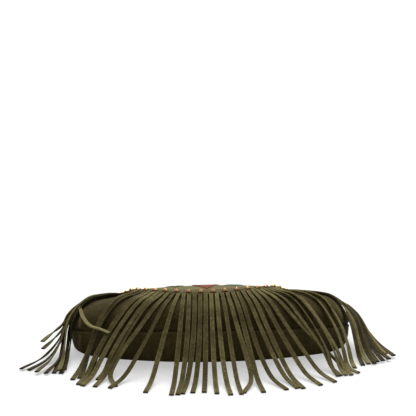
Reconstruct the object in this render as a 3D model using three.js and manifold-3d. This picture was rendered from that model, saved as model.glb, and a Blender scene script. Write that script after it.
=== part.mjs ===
// Fringed suede flap bag, lying on its back with its base towards -Y and its flap up.
// Two suede panels meet at a seam half way up the wall, and a flap folds over the mouth.
// A cut fringe and a row of pyramid studs follow the flap's round edge.
// Millimetres, +Z up. Depth is measured from the front of the base seam towards the mouth.
import * as THREE from "three";
import { mergeVertices } from "three/addons/utils/BufferGeometryUtils.js";
import Module from "manifold-3d";

const wasm = await Module();
wasm.setup();

// Body
const WALL = 2;
const GAP = 0.3;
const MOUTH_DEPTH = 190;
const ORIGIN_DEPTH = 100;
const BASE_RADIUS = 310;
const BASE_SPREAD = THREE.MathUtils.degToRad(21.3);
const CORNER_RADIUS = 48;
const SIDE_TAPER = THREE.MathUtils.degToRad(5);
const SIDE_DROOP = 0.22;
const FLOOR_ROLL = 4.5;

// How the body changes from its base to its mouth: the seam's height on the rim, the crown's
// height on the middle line, and how far in from the rim the front panel rolls over.
const SECTIONS = [
  { depth: 0, seam: 34, crown: 62.5, roll: 40 },
  { depth: 25, seam: 28, crown: 62, roll: 33 },
  { depth: 45, seam: 24, crown: 61.4, roll: 28 },
  { depth: 70, seam: 19, crown: 57.6, roll: 25 },
  { depth: 100, seam: 15, crown: 45.3, roll: 24 },
  { depth: 150, seam: 10, crown: 27.5, roll: 22 },
  { depth: 190, seam: 6, crown: 13.5, roll: 20 },
];

// Flap
const FLAP_THICKNESS = 1.6;
const FLAP_TIP_DEPTH = 28;
const FLAP_RADIUS = 90;
const FLAP_SPREAD = THREE.MathUtils.degToRad(70);
const FLAP_HALF_WIDTH = 124;
const FLAP_TIP_SHIFT = -7;
const FLAP_GAP = 0.6;

// Fringe
const STRAND_PITCH = 5.5;
const STRAND_WIDTH = 4.8;
const STRAND_THICKNESS = 1.3;
const STRAND_LENGTH = 144;
const STRANDS_EACH_SIDE = 25;
const HEAD_WIDTH = 7;
const HEAD_THICKNESS = 1.2;
const ROLL_OFF = 14;
const RIDE = 1.7;
const RIDE_RUN = 22;
const RIDE_STEP = 11;
const LEFT_BUNCH = -15;
const RIGHT_BUNCH = 18;
const BUNCH_LAYER = 1;
const PILE_STEP = 0.35;
const FAN_TURN = [0, 110];
const BUNCH_TURN = [30, 95];

// How each strand lies, counted from the flap's tip with the right side positive: its headings at the
// flap and on the floor in degrees from the way that the base faces, how far out it falls, how much its
// free end curls, how high its tip is held, and its share of the cut length. Strands between two rows
// lie between them.
const FAN = [
  { strand: -24, leave: -60, land: -14, fall: 0.33, curl: -45, lift: 15, share: 0.81 },
  { strand: -23, leave: -64, land: -14, fall: 0.25, curl: -39, lift: 6, share: 0.85 },
  { strand: -22, leave: -59, land: -14, fall: 0.54, curl: -33, lift: 0, share: 1.14 },
  { strand: -21, leave: -58, land: -14, fall: 0.58, curl: -33, lift: 0, share: 1.1 },
  { strand: -20, leave: -61, land: -14, fall: 0.57, curl: -14, lift: 0, share: 1.13 },
  { strand: -19, leave: -68, land: 0, fall: 0.4, curl: -28, lift: 0, share: 1.13 },
  { strand: -18, leave: -78, land: 0, fall: 0.45, curl: -12, lift: 0, share: 1.12 },
  { strand: -17, leave: -77, land: 0, fall: 0.6, curl: -11, lift: 0, share: 1.06 },
  { strand: -16, leave: -82, land: 0, fall: 0.25, curl: -3, lift: 0, share: 1.06 },
  { strand: -15, leave: -83, land: 2, fall: 0.25, curl: -19, lift: 0, share: 1.1 },
  { strand: -14, leave: -53, land: -17, fall: 0.52, curl: 0, lift: 0, share: 1.01 },
  { strand: -13, leave: -56, land: -14, fall: 0.8, curl: 0, lift: 0, share: 0.95 },
  { strand: -12, leave: -43, land: -22, fall: 1, curl: 0, lift: 0, share: 0.9 },
  { strand: -11, leave: -49, land: -23, fall: 1, curl: 0, lift: 0, share: 1.02 },
  { strand: -10, leave: -46, land: -25, fall: 1, curl: 0, lift: 0, share: 1.02 },
  { strand: -9, leave: -42, land: -26, fall: 1, curl: 0, lift: 1.6, share: 0.9 },
  { strand: -8, leave: -46, land: -24, fall: 1, curl: 0, lift: 0, share: 1 },
  { strand: -7, leave: -36, land: -68, fall: 1, curl: 166, lift: 0, share: 0.98 },
  { strand: -6, leave: -30, land: -33, fall: 1, curl: 0, lift: 0, share: 0.98 },
  { strand: -5, leave: -20, land: -15, fall: 1, curl: 0, lift: 0, share: 0.98 },
  { strand: -4, leave: -8, land: -8, fall: 1, curl: 0, lift: 0, share: 1 },
  { strand: -2, leave: -3, land: -13, fall: 1, curl: 0, lift: 0, share: 0.97 },
  { strand: 0, leave: -3, land: -5, fall: 1, curl: 0, lift: 0, share: 0.94 },
  { strand: 2, leave: 0, land: 4, fall: 1, curl: 0, lift: 0, share: 1 },
  { strand: 3, leave: 5, land: 4, fall: 1, curl: 0, lift: 0, share: 1 },
  { strand: 4, leave: 8, land: 29, fall: 1, curl: -100, lift: 0, share: 1 },
  { strand: 5, leave: 12, land: 7, fall: 1, curl: 0, lift: 0, share: 1 },
  { strand: 6, leave: 12, land: 14, fall: 1, curl: 25, lift: 0, share: 1 },
  { strand: 7, leave: 17, land: 22, fall: 1, curl: 0, lift: 0, share: 1 },
  { strand: 8, leave: 19, land: 20, fall: 1, curl: 0, lift: 0, share: 1.02 },
  { strand: 9, leave: 24, land: 27, fall: 1, curl: 0, lift: 0, share: 1.02 },
  { strand: 10, leave: 28, land: 33, fall: 1, curl: 0, lift: 0, share: 1.02 },
  { strand: 11, leave: 35, land: 53, fall: 1, curl: 0, lift: 0, share: 1 },
  { strand: 12, leave: 40, land: 28, fall: 1, curl: 0, lift: 0, share: 0.96 },
  { strand: 13, leave: 47, land: 15, fall: 1, curl: 0, lift: 0, share: 0.98 },
  { strand: 14, leave: 48, land: 17, fall: 1, curl: 0, lift: 0, share: 1 },
  { strand: 15, leave: 43, land: 21, fall: 1, curl: 0, lift: 0, share: 1.02 },
  { strand: 16, leave: 59, land: 11, fall: 0.8, curl: 0, lift: 0, share: 0.98 },
  { strand: 17, leave: 65, land: 9, fall: 0.8, curl: 0, lift: 0, share: 1 },
  { strand: 18, leave: 74, land: 6, fall: 0.83, curl: 0, lift: 0, share: 1.05 },
  { strand: 19, leave: 73, land: 9, fall: 0.68, curl: 0, lift: 0, share: 1.06 },
  { strand: 20, leave: 75, land: 10, fall: 0.78, curl: 0, lift: 0, share: 1.1 },
  { strand: 21, leave: 72, land: 15, fall: 0.78, curl: -6, lift: 0, share: 1.09 },
  { strand: 22, leave: 70, land: 19, fall: 0.8, curl: -8, lift: 0, share: 1.1 },
  { strand: 23, leave: 66, land: 20, fall: 0.82, curl: 0, lift: 0, share: 1.1 },
  { strand: 24, leave: 66, land: 24, fall: 0.72, curl: 0, lift: 0, share: 1.08 },
  { strand: 25, leave: 57, land: 24, fall: 0.8, curl: 0, lift: 0, share: 1.02 },
];

// The strand that lies back across the left corner and over the next ones.
const CROSSING_STRAND = -25;
const CROSSING = [
  { x: -119, depth: 92, z: 45.5 },
  { x: -133.5, depth: 67, z: 45.5 },
  { x: -132.5, depth: 47, z: 44.3 },
  { x: -129, depth: 30.5, z: 39.8 },
  { x: -122, depth: 15, z: 36.4 },
  { x: -113, depth: 5.5, z: 36 },
  { x: -103, depth: -1, z: 33.5 },
];

// The fall from the rim to the floor: how far past the rim, and what share of the height is left.
const FALL = [
  { pastRim: 13, share: 0.66 },
  { pastRim: 39, share: 0.33 },
];
const TIP_RUN = 30;
const TIP_RISE = 4;

// Studs
const STUD_PITCH = 12.85;
const STUD_SHIFT = -4.9;
const STUDS_EACH_SIDE = 11;
const STUD_HALF_WIDTH = 2.6;
const STUD_RISE = 2.8;
const STUD_PLINTH = 0.6;
const STUD_INSET = 3.4;

// Lozenges of coloured suede sewn on the flap.
const PATCH_THICKNESS = 1;
const PATCH_GAP = 0.55;
const PATCHES = [
  { name: "patch_middle", x: -5, depth: 66, halfWidth: 14, halfLength: 26, colour: 0x8a4a34 },
  { name: "patch_crown", x: -3, depth: 122, halfWidth: 17, halfLength: 25, colour: 0xb03a78 },
  { name: "patch_left", x: -36, depth: 78, halfWidth: 11, halfLength: 20, colour: 0x5a6a30 },
  { name: "patch_right", x: 25, depth: 78, halfWidth: 11, halfLength: 20, colour: 0x2c6f78 },
  { name: "patch_far_left", x: -43, depth: 146, halfWidth: 13, halfLength: 22, colour: 0x2c6f78 },
  { name: "patch_far_right", x: 39, depth: 146, halfWidth: 13, halfLength: 22, colour: 0x5a6a30 },
];

const suede = (colour) =>
  new THREE.MeshStandardMaterial({ color: colour, roughness: 0.95, metalness: 0 });
const BODY_SUEDE = suede(0x6a6244);
const FLAP_SUEDE = suede(0x767052);
const FRINGE_SUEDE = suede(0x706848);
const STUD_BRASS = new THREE.MeshStandardMaterial({ color: 0xc08a4a, roughness: 0.3, metalness: 1 });

// Sums and tables

// A table's column at one value of its key, on a smooth curve through the rows.
function fromTable(table, key, column, value) {
  const last = table.length - 1;
  const at = THREE.MathUtils.clamp(value, table[0][key], table[last][key]);
  let k = 0;
  while (k < last - 1 && at > table[k + 1][key]) k += 1;
  const slope = (i) => {
    const low = table[Math.max(i - 1, 0)];
    const high = table[Math.min(i + 1, last)];
    return (high[column] - low[column]) / (high[key] - low[key]);
  };
  const span = table[k + 1][key] - table[k][key];
  const t = (at - table[k][key]) / span;
  const t2 = t * t;
  const t3 = t2 * t;
  return (
    table[k][column] * (2 * t3 - 3 * t2 + 1) +
    table[k + 1][column] * (3 * t2 - 2 * t3) +
    slope(k) * span * (t3 - 2 * t2 + t) +
    slope(k + 1) * span * (t3 - t2)
  );
}

// A quarter round from 0 at the rim to 1 where the roll ends.
const quarterRound = (share) => Math.sqrt(1 - (1 - Math.min(share, 1)) ** 2);

// Plan outlines, as paths of x and depth

// The body's seam line, from the left end of the mouth round the base to the right end.
function seamPath() {
  const cornerX = (BASE_RADIUS - CORNER_RADIUS) * Math.sin(BASE_SPREAD);
  const cornerDepth = BASE_RADIUS - (BASE_RADIUS - CORNER_RADIUS) * Math.cos(BASE_SPREAD);
  const sideX = cornerX + CORNER_RADIUS * Math.cos(SIDE_TAPER);
  const sideDepth = cornerDepth + CORNER_RADIUS * Math.sin(SIDE_TAPER);
  const mouthX = sideX - (MOUTH_DEPTH - sideDepth) * Math.tan(SIDE_TAPER);
  const down = -Math.PI / 2;
  const path = new THREE.Path();
  path.moveTo(-mouthX, MOUTH_DEPTH);
  path.lineTo(-sideX, sideDepth);
  path.absarc(-cornerX, cornerDepth, CORNER_RADIUS, -Math.PI - SIDE_TAPER, down - BASE_SPREAD);
  path.absarc(0, BASE_RADIUS, BASE_RADIUS, down - BASE_SPREAD, down + BASE_SPREAD);
  path.absarc(cornerX, cornerDepth, CORNER_RADIUS, down + BASE_SPREAD, SIDE_TAPER);
  path.lineTo(mouthX, MOUTH_DEPTH);
  return path;
}

// The flap's free edge, from its left end at the fold round the tip to its right end.
function flapPath() {
  const middle = FLAP_TIP_DEPTH + FLAP_RADIUS;
  const roundX = FLAP_RADIUS * Math.sin(FLAP_SPREAD);
  const roundDepth = middle - FLAP_RADIUS * Math.cos(FLAP_SPREAD);
  const down = -Math.PI / 2;
  const path = new THREE.Path();
  path.moveTo(-FLAP_HALF_WIDTH, MOUTH_DEPTH);
  path.lineTo(-roundX, roundDepth);
  path.absarc(0, middle, FLAP_RADIUS, down - FLAP_SPREAD, down + FLAP_SPREAD);
  path.lineTo(FLAP_HALF_WIDTH, MOUTH_DEPTH);
  return path;
}

const SEAM = seamPath();
const SEAM_POINTS = SEAM.getSpacedPoints(180);
const SEAM_LENGTH = SEAM.getLength();
const FLAP_EDGE = flapPath();
const FLAP_EDGE_LENGTH = FLAP_EDGE.getLength();
const HALF_WIDTH = Math.max(...SEAM_POINTS.map((p) => p.x));
const MOUTH_HALF_WIDTH = SEAM_POINTS[SEAM_POINTS.length - 1].x;

// The nearest place on the seam: how far in from it a point lies (negative outside), and its depth.
function nearestSeam(x, depth) {
  let best = { inside: Infinity, depth: 0 };
  for (let k = 0; k + 1 < SEAM_POINTS.length; k += 1) {
    const a = SEAM_POINTS[k];
    const b = SEAM_POINTS[k + 1];
    const alongX = b.x - a.x;
    const alongDepth = b.y - a.y;
    const fromX = x - a.x;
    const fromDepth = depth - a.y;
    const length2 = alongX ** 2 + alongDepth ** 2;
    const t = THREE.MathUtils.clamp((fromX * alongX + fromDepth * alongDepth) / length2, 0, 1);
    const distance = Math.hypot(fromX - t * alongX, fromDepth - t * alongDepth);
    if (distance < Math.abs(best.inside)) {
      const side = Math.sign(alongX * fromDepth - alongDepth * fromX) || 1;
      best = { inside: side * distance, depth: a.y + t * alongDepth };
    }
  }
  return best;
}

const section = (depth, column) => fromTable(SECTIONS, "depth", column, depth);

// The front panel's outer height: a quarter round up from the seam to a crown that droops sideways.
function frontHeight(x, depth) {
  const rim = nearestSeam(x, depth);
  const seam = section(rim.depth, "seam");
  const crown = section(depth, "crown") * (1 - SIDE_DROOP * (x / HALF_WIDTH) ** 2);
  return seam + (crown - seam) * quarterRound(Math.max(rim.inside, 0) / section(rim.depth, "roll"));
}

// The back panel's outer height: a quarter round down from the seam to the flat that it lies on.
function backHeight(x, depth) {
  const rim = nearestSeam(x, depth);
  return (section(rim.depth, "seam") - GAP) * (1 - quarterRound(Math.max(rim.inside, 0) / FLOOR_ROLL));
}

const FLAP_LIFT = GAP + HEAD_THICKNESS + FLAP_GAP;
const flapTop = (x, depth) => frontHeight(x, depth) + FLAP_LIFT + FLAP_THICKNESS;

// A point on the flap's edge, a distance from its tip and inset from the edge, with the way out.
// The tip lies a little to one side, and the shift dies away towards the fold.
function flapEdge(fromTip, inset = 0) {
  const t = THREE.MathUtils.clamp(0.5 + fromTip / FLAP_EDGE_LENGTH, 0, 1);
  const at = FLAP_EDGE.getPointAt(t);
  const tangent = FLAP_EDGE.getTangentAt(t);
  const outX = tangent.y;
  const outDepth = -tangent.x;
  const shift = (FLAP_TIP_SHIFT * (MOUTH_DEPTH - at.y)) / (MOUTH_DEPTH - FLAP_TIP_DEPTH);
  return { x: at.x + shift - outX * inset, depth: at.y - outDepth * inset, outX, outDepth };
}

// Solids

// A closed wall between two grids of points: outer[i][j] and inner[i][j], joined along all four edges.
function wall(outer, inner) {
  const rows = outer.length;
  const columns = outer[0].length;
  const positions = [...outer.flat(), ...inner.flat()].flatMap((p) => [p.x, p.y, p.z]);
  const index = [];
  const top = (i, j) => i * columns + j;
  const under = (i, j) => rows * columns + i * columns + j;
  const quad = (a, b, c, d) => index.push(a, b, c, a, c, d);
  for (let i = 0; i + 1 < rows; i += 1) {
    for (let j = 0; j + 1 < columns; j += 1) {
      quad(top(i, j), top(i + 1, j), top(i + 1, j + 1), top(i, j + 1));
      quad(under(i, j), under(i, j + 1), under(i + 1, j + 1), under(i + 1, j));
    }
    quad(top(i, 0), under(i, 0), under(i + 1, 0), top(i + 1, 0));
    quad(top(i + 1, columns - 1), under(i + 1, columns - 1), under(i, columns - 1), top(i, columns - 1));
  }
  for (let j = 0; j + 1 < columns; j += 1) {
    quad(top(0, j + 1), under(0, j + 1), under(0, j), top(0, j));
    quad(top(rows - 1, j), under(rows - 1, j), under(rows - 1, j + 1), top(rows - 1, j + 1));
  }
  const geometry = new THREE.BufferGeometry();
  geometry.setAttribute("position", new THREE.Float32BufferAttribute(positions, 3));
  geometry.setIndex(index);
  if (signedVolume(geometry) < 0) geometry.setIndex(index.reverse());
  return geometry;
}

function signedVolume(geometry) {
  const at = (k) => new THREE.Vector3().fromBufferAttribute(geometry.attributes.position, k);
  const index = geometry.index.array;
  let volume = 0;
  for (let k = 0; k < index.length; k += 3) {
    volume += at(index[k]).dot(at(index[k + 1]).cross(at(index[k + 2]))) / 6;
  }
  return volume;
}

// The same grid moved along its own normals, level on the seam so that two walls can meet there.
function offsetGrid(grid, distance) {
  const rows = grid.length;
  const columns = grid[0].length;
  return grid.map((row, i) =>
    row.map((p, j) => {
      const across = grid[Math.min(i + 1, rows - 1)][j].clone().sub(grid[Math.max(i - 1, 0)][j]);
      const inward = row[Math.min(j + 1, columns - 1)].clone().sub(row[Math.max(j - 1, 0)]);
      const normal = across.cross(inward);
      if (j === 0 || i === 0 || i === rows - 1) normal.z = 0;
      return p.clone().addScaledVector(normal.normalize(), distance);
    }),
  );
}

// A grid from an edge curve to a straight far line: rays run inwards by the shares given.
function rayGrid(edge, farLine, shares, height) {
  return edge.map((from, i) =>
    shares.map((share) => {
      const x = THREE.MathUtils.lerp(from.x, farLine[i].x, share);
      const depth = THREE.MathUtils.lerp(from.depth, farLine[i].depth, share);
      return new THREE.Vector3(x, depth, height(x, depth));
    }),
  );
}

const farLine = (count, halfWidth) =>
  Array.from({ length: count + 1 }, (_, i) => {
    const x = halfWidth * ((2 * i) / count - 1);
    return { x, depth: MOUTH_DEPTH };
  });

const PANEL_RAYS = 24;
const PANEL_SHARES = [0, 0.012, 0.045, 0.1, 0.18, 0.3, 0.5, 0.75, 1];
const SIDE_EDGE = 20;

// One half of the body, from the seam to the mouth: the front half turns up and the back half down.
function panel(height, inwards) {
  const edge = Array.from({ length: PANEL_RAYS + 1 }, (_, i) => {
    const along = SIDE_EDGE + ((SEAM_LENGTH - 2 * SIDE_EDGE) * i) / PANEL_RAYS;
    const p = SEAM.getPointAt(along / SEAM_LENGTH);
    return { x: p.x, depth: p.y };
  });
  const outer = rayGrid(edge, farLine(PANEL_RAYS, MOUTH_HALF_WIDTH), PANEL_SHARES, height);
  return wall(outer, offsetGrid(outer, inwards * WALL));
}

const FLAP_RAYS = 26;
const FLAP_SHARES = [0, 0.04, 0.1, 0.18, 0.3, 0.48, 0.72, 1];
const FOLD_ANGLES = [50, 10, -35, -90].map(THREE.MathUtils.degToRad);
const FLAP_SIDE_EDGE = 14;

// The flap: it lies over the front panel from its round edge to the mouth, then folds down behind it.
function flap() {
  const reach = FLAP_EDGE_LENGTH / 2 - FLAP_SIDE_EDGE;
  const edge = Array.from({ length: FLAP_RAYS + 1 }, (_, i) => flapEdge(reach * ((2 * i) / FLAP_RAYS - 1)));
  const far = farLine(FLAP_RAYS, FLAP_HALF_WIDTH);
  const layer = (depthInside) => {
    const lying = rayGrid(edge, far, FLAP_SHARES, (x, depth) => flapTop(x, depth) - depthInside);
    return lying.map((row, i) => {
      const radius = flapTop(far[i].x, MOUTH_DEPTH) / 2;
      const folded = FOLD_ANGLES.map((angle) => {
        const reachOut = (radius - depthInside) * Math.cos(angle) + GAP;
        const z = radius + (radius - depthInside) * Math.sin(angle);
        return new THREE.Vector3(far[i].x, MOUTH_DEPTH + reachOut, z);
      });
      return [...row, ...folded];
    });
  };
  return wall(layer(0), layer(FLAP_THICKNESS));
}

// The sewn head of the fringe, a band under the flap's edge.
function fringeHead() {
  const count = 2 * STRANDS_EACH_SIDE + 1;
  const reach = (STRANDS_EACH_SIDE + 0.5) * STRAND_PITCH;
  const layer = (rise) =>
    Array.from({ length: count + 1 }, (_, i) => {
      const fromTip = reach * ((2 * i) / count - 1);
      return [0, HEAD_WIDTH].map((inset) => {
        const p = flapEdge(fromTip, inset);
        return new THREE.Vector3(p.x, p.depth, frontHeight(p.x, p.depth) + GAP + rise);
      });
    });
  return wall(layer(HEAD_THICKNESS), layer(0));
}

const ROUTE_STEP = 2;
const ROUTE_LENGTH = 180;
const ROOT_OVERLAP = 2;
const STRAND_STEPS = 9;
const FRINGE_TOLERANCE = 0.2;

const fanned = (number, column) => fromTable(FAN, "strand", column, number);
const bunched = (number) => number <= LEFT_BUNCH || number >= RIGHT_BUNCH;

// How high a strand lies on others: in turn in the left bunch, and one over the next in the right one.
const layerOf = (number) => {
  if (number >= RIGHT_BUNCH) return PILE_STEP * (number - RIGHT_BUNCH);
  return number <= LEFT_BUNCH ? BUNCH_LAYER * (Math.abs(number) % 3) : 0;
};

// A strand's plan route: it leaves the flap on one heading, turns to another as it goes over the rim,
// and any curl grows towards the tip.
function planRoute(number) {
  const leave = fanned(number, "leave");
  const land = fanned(number, "land");
  const curl = fanned(number, "curl");
  const [from, to] = bunched(number) ? BUNCH_TURN : FAN_TURN;
  const heading = (run) => {
    const turned = (land - leave) * THREE.MathUtils.smoothstep(run, from, to);
    return THREE.MathUtils.degToRad(leave + turned + curl * (run / STRAND_LENGTH) ** 3);
  };
  const root = flapEdge(number * STRAND_PITCH);
  let x = root.x - ROOT_OVERLAP * Math.sin(heading(0));
  let depth = root.depth + ROOT_OVERLAP * Math.cos(heading(0));
  const points = [];
  for (let run = 0; run <= ROUTE_LENGTH; run += ROUTE_STEP) {
    points.push({ x, depth });
    x += ROUTE_STEP * Math.sin(heading(run));
    depth -= ROUTE_STEP * Math.cos(heading(run));
  }
  return points;
}

function crossingCurve() {
  const root = flapEdge(CROSSING_STRAND * STRAND_PITCH, ROOT_OVERLAP);
  const z = frontHeight(root.x, root.depth) + GAP + HEAD_THICKNESS / 2;
  const way = [{ x: root.x, depth: root.depth, z }, ...CROSSING];
  return new THREE.CatmullRomCurve3(way.map((p) => new THREE.Vector3(p.x, p.depth, p.z)));
}

// A strand's centre line: along the front panel, over the rim, down to the floor and out to its tip,
// as far as its cut length reaches. In the end bunches the strands lie on one another in layers.
function strandCurve(number) {
  if (number === CROSSING_STRAND) return crossingCurve();
  const route = planRoute(number);
  const length = fanned(number, "share") * STRAND_LENGTH;
  const layer = layerOf(number);
  const at = (run) => route[THREE.MathUtils.clamp(Math.round(run / ROUTE_STEP), 0, route.length - 1)];
  const riding = (run) => {
    const ride = (RIDE + layer) * Math.min(run / RIDE_RUN, 1) ** 2;
    return frontHeight(at(run).x, at(run).depth) + GAP + HEAD_THICKNESS / 2 + ride;
  };
  const rim = ROUTE_STEP * route.findIndex((p) => nearestSeam(p.x, p.depth).inside < 0);
  const fall = Math.max(rim - ROLL_OFF, 8);
  const floor = STRAND_THICKNESS / 2 + layer + fanned(number, "lift");
  const top = riding(fall);
  const rests = Math.ceil(fall / RIDE_STEP);
  const lying = Array.from({ length: rests + 1 }, (_, k) => (fall * k) / rests);
  const beyond = (f) => rim + f.pastRim * fanned(number, "fall") + layer;
  const landed = beyond(FALL[1]);
  const build = (tip) => {
    const stations = [
      ...lying.map((run) => ({ run, z: riding(run) })),
      ...FALL.map((f) => ({ run: beyond(f), z: floor + (top - floor) * f.share })),
      { run: Math.max(tip - TIP_RUN, (tip + landed) / 2), z: floor + TIP_RISE },
      { run: tip, z: floor },
    ];
    const points = stations.map((s) => new THREE.Vector3(at(s.run).x, at(s.run).depth, s.z));
    return new THREE.CatmullRomCurve3(points);
  };
  let low = landed + ROUTE_STEP;
  let high = ROUTE_LENGTH;
  for (let k = 0; k < 12; k += 1) {
    const middle = (low + high) / 2;
    if (build(middle).getLength() < length) low = middle;
    else high = middle;
  }
  return build(low);
}

// A strand as a flat strip along its centre line: it banks with the panel that it lies on, and its
// width is level from the rim on.
function strand(number) {
  const curve = strandCurve(number);
  const points = curve.getSpacedPoints(STRAND_STEPS);
  const layer = (rise) =>
    points.map((p, k) => {
      const tangent = curve.getTangentAt(k / STRAND_STEPS);
      const across = new THREE.Vector3(-tangent.y, tangent.x, 0).normalize();
      const bank = THREE.MathUtils.clamp(nearestSeam(p.x, p.y).inside / ROLL_OFF, 0, 1);
      const side = (step) => frontHeight(p.x + step * across.x, p.y + step * across.y);
      across.z = (bank * (side(2) - side(-2))) / 4;
      across.projectOnPlane(tangent).normalize();
      const normal = tangent.clone().cross(across);
      return [-0.5, 0.5].map((edge) =>
        p
          .clone()
          .addScaledVector(across, edge * STRAND_WIDTH)
          .addScaledVector(normal, rise * STRAND_THICKNESS),
      );
    });
  return wall(layer(0.5), layer(-0.5));
}

// A lozenge that follows the flap's top.
function patch({ x, depth, halfWidth, halfLength }) {
  const sides = [-1, -0.5, 0, 0.5, 1];
  const layer = (rise) =>
    sides.map((p) =>
      sides.map((q) => {
        const atX = x + (halfWidth * (p - q)) / 2;
        const atDepth = depth + (halfLength * (p + q)) / 2;
        return new THREE.Vector3(atX, atDepth, flapTop(atX, atDepth) + PATCH_GAP + rise);
      }),
    );
  return wall(layer(PATCH_THICKNESS), layer(0));
}

// A square pyramid on a low plinth.
function stud() {
  const corner = STUD_HALF_WIDTH * Math.SQRT2;
  const profile = [
    new THREE.Vector2(0, 0),
    new THREE.Vector2(corner, 0),
    new THREE.Vector2(corner, STUD_PLINTH),
    new THREE.Vector2(0, STUD_RISE),
  ];
  const geometry = new THREE.LatheGeometry(profile, 4, Math.PI / 4);
  geometry.deleteAttribute("normal");
  geometry.deleteAttribute("uv");
  return mergeVertices(geometry.rotateX(Math.PI / 2));
}

// Booleans

function toSolid(geometry) {
  const merged = mergeVertices(geometry);
  return new wasm.Manifold(
    new wasm.Mesh({
      numProp: 3,
      vertProperties: new Float32Array(merged.attributes.position.array),
      triVerts: new Uint32Array(merged.index.array),
    }),
  );
}

function fromSolid(solid) {
  const mesh = solid.getMesh();
  const geometry = new THREE.BufferGeometry();
  geometry.setAttribute("position", new THREE.BufferAttribute(mesh.vertProperties, 3));
  geometry.setIndex(new THREE.BufferAttribute(mesh.triVerts, 1));
  return geometry;
}

// The head with every strand joined to it. Pockets shut in between crossed strands are filled.
function fringe() {
  let joined = toSolid(fringeHead());
  for (let number = -STRANDS_EACH_SIDE; number <= STRANDS_EACH_SIDE; number += 1) {
    joined = joined.add(toSolid(strand(number)));
  }
  const skins = joined.simplify(FRINGE_TOLERANCE).decompose();
  return fromSolid(skins.reduce((outer, skin) => (skin.volume() > outer.volume() ? skin : outer)));
}

// Assembly

const laid = new THREE.Group();
laid.position.y = -ORIGIN_DEPTH;

function place(name, geometry, material) {
  const mesh = new THREE.Mesh(geometry, material);
  mesh.name = name;
  laid.add(mesh);
  return mesh;
}

place("front_panel", panel(frontHeight, -1), BODY_SUEDE);
place("back_panel", panel(backHeight, 1), BODY_SUEDE);
place("flap", flap(), FLAP_SUEDE);
place("fringe", fringe(), FRINGE_SUEDE);

for (const shape of PATCHES) {
  place(shape.name, patch(shape), suede(shape.colour));
}

for (let k = -STUDS_EACH_SIDE; k <= STUDS_EACH_SIDE; k += 1) {
  const p = flapEdge(k * STUD_PITCH + STUD_SHIFT, STUD_INSET);
  const slope = (dx, dd) => flapTop(p.x + dx, p.depth + dd) - flapTop(p.x - dx, p.depth - dd);
  const up = new THREE.Vector3(-slope(1, 0) / 2, -slope(0, 1) / 2, 1).normalize();
  const out = new THREE.Vector3(p.outX, p.outDepth, 0).projectOnPlane(up).normalize();
  const seat = new THREE.Vector3(p.x, p.depth, flapTop(p.x, p.depth)).addScaledVector(up, GAP);
  const mesh = place(`stud_${String(k + STUDS_EACH_SIDE + 1).padStart(2, "0")}`, stud(), STUD_BRASS);
  mesh.quaternion.setFromRotationMatrix(new THREE.Matrix4().makeBasis(out, up.clone().cross(out), up));
  mesh.position.copy(seat);
}

const bag = new THREE.Group();
bag.add(laid);

export default bag;
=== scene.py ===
"""A fringed suede flap bag, lying on its back with its base towards the camera.

Shapes are worked out in millimetres as the bag lies: x to the right, depth from the front of the base
seam towards the mouth, z up. Each surface is a grid of points that is computed as whole arrays.
"""

import bmesh
import bpy
import numpy as np
from mathutils import Matrix


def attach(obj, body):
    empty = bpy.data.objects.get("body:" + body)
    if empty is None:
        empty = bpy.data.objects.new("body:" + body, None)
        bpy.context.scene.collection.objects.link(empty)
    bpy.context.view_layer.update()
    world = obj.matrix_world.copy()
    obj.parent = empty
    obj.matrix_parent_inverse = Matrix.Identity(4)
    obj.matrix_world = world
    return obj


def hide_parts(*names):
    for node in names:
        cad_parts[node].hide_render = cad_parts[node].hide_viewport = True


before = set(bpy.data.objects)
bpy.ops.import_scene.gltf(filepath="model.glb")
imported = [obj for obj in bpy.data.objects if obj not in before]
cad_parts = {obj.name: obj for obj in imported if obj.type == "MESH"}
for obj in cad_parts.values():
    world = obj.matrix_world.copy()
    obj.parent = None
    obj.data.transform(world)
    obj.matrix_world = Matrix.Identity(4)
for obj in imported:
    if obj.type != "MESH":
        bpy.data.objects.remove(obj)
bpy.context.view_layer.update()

MM = 0.001
GAP = 0.3

# Body
WALL = 2.0
MOUTH_DEPTH = 190.0
ORIGIN_DEPTH = 100.0
BASE_RADIUS = 310.0
BASE_SPREAD = np.radians(21.3)
CORNER_RADIUS = 48.0
SIDE_TAPER = np.radians(5.0)
SIDE_DROOP = 0.22
SIDE_EDGE = 20.0
FLOOR_ROLL = 4.5
SECTIONS = {
    "depth": [0, 25, 45, 70, 100, 150, 190],
    "seam": [34, 28, 24, 19, 15, 10, 6],
    "crown": [62.5, 62, 61.4, 57.6, 45.3, 27.5, 13.5],
    "roll": [40, 33, 28, 25, 24, 22, 20],
}

# Flap
FLAP_THICKNESS = 1.6
FLAP_TIP_DEPTH = 28.0
FLAP_RADIUS = 90.0
FLAP_SPREAD = np.radians(70.0)
FLAP_HALF_WIDTH = 124.0
FLAP_TIP_SHIFT = -7.0
FLAP_SIDE_EDGE = 14.0
HEAD_THICKNESS = 1.2
HEAD_WIDTH = 7.0
FLAP_LIFT = GAP + HEAD_THICKNESS + 0.6
STITCH_ROWS = (2.0, 8.6)
STITCH_PITCH = 3.0

# Fringe
STRAND_PITCH = 5.5
STRAND_WIDTH = 4.8
STRAND_THICKNESS = 1.3
STRAND_LENGTH = 144.0
STRANDS_EACH_SIDE = 25
ROLL_OFF = 14.0
RIDE = 0.7
RIDE_RUN = 22.0
RIDE_STEP = 11.0
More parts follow.
